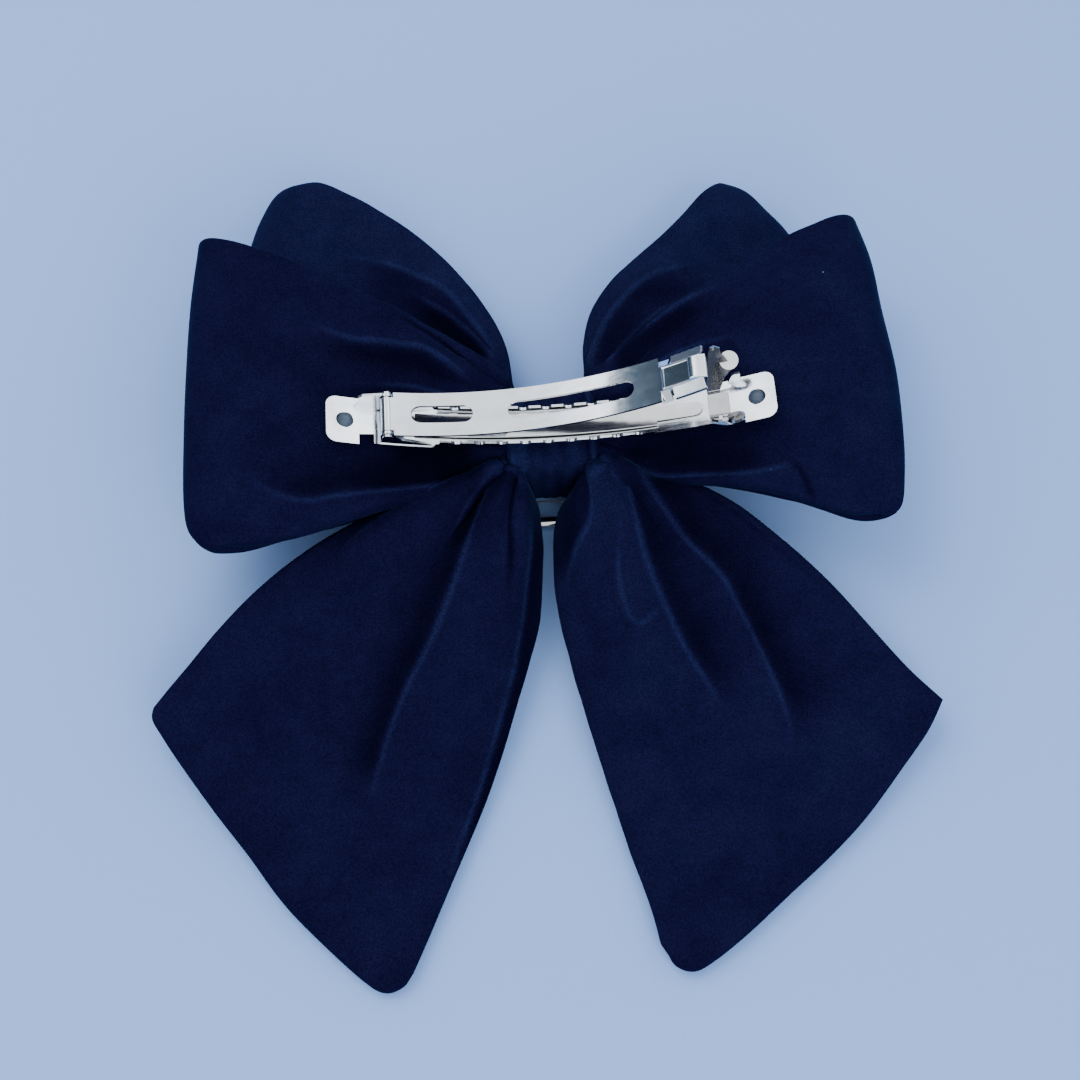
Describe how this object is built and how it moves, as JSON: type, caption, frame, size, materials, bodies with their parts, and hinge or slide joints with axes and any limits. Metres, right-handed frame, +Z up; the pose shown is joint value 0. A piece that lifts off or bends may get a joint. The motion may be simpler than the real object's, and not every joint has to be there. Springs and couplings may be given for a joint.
{
  "type": "hair bow",
  "caption": "Dark padded velvet hair bow with loops, tails and a knot on a curved metal spring clip with a hinged arm and pinch latch.",
  "frame": {"origin": "middle of the bow's bounding box seen from above, on the ground it lies on", "axes": "+Z up from the ground, out of the bow's back towards the clip; X along the clip, from its hinge at -X to its latch at +X; the tails hang towards -Y"},
  "size_m": [0.141, 0.163, 0.0399],
  "materials": {
    "velvet": "deep pile velvet, very dark navy, faint blue sheen on the folds",
    "plated_steel": "bright nickel plated sheet steel, faint brushing along the strip",
    "spring_steel": "bright nickel plated spring steel, thinner and glossier",
    "polished_metal": "polished slim metal bar",
    "glue": "dark grey-blue set glue, satin",
    "dark_thread": "twisted sewing thread",
    "pale_thread": "twisted pale blue sewing thread"
  },
  "bodies": {
    "bow": {"barrette_base": "plated_steel", "hinge_pin": "plated_steel", "tension_spring": "spring_steel", "latch_plate": "spring_steel", "glue_left": "glue", "glue_right": "glue", "knot_wrap": "velvet", "knot_core": "velvet", "gathering_thread": "dark_thread", "tie_thread": "dark_thread", "seam_stitches": "pale_thread", "front_ring": "polished_metal", "front_loop_left": "velvet", "front_loop_right": "velvet", "rear_loop_left": "velvet", "rear_loop_right": "velvet", "tail_left": "velvet", "tail_right": "velvet"},
    "arm": {"barrette_arm": "plated_steel"},
    "wing_far": {"latch_wing_far": "spring_steel"},
    "wing_near": {"latch_wing_near": "spring_steel"}
  },
  "joints": [
    {"name": "arm_hinge", "type": "hinge", "parent": "bow", "child": "arm", "pos_m": [-0.02529, 0.0145, 0.02799], "axis": [0, -1, 0], "range_deg": [-11.5, 80]},
    {"name": "pinch_far", "type": "hinge", "parent": "bow", "child": "wing_far", "pos_m": [0.03345, 0.0173, 0.02566], "axis": [0.9636, 0, 0.2672], "range_deg": [0, 10], "stiffness_Nm_per_rad": 0.02},
    {"name": "pinch_near", "type": "hinge", "parent": "bow", "child": "wing_near", "pos_m": [0.03345, 0.0117, 0.02566], "axis": [-0.9636, 0, -0.2672], "range_deg": [0, 10], "stiffness_Nm_per_rad": 0.02}
  ],
  "couplings": [
    {"joint": "pinch_near", "follows": "pinch_far", "ratio": 1}
  ]
}
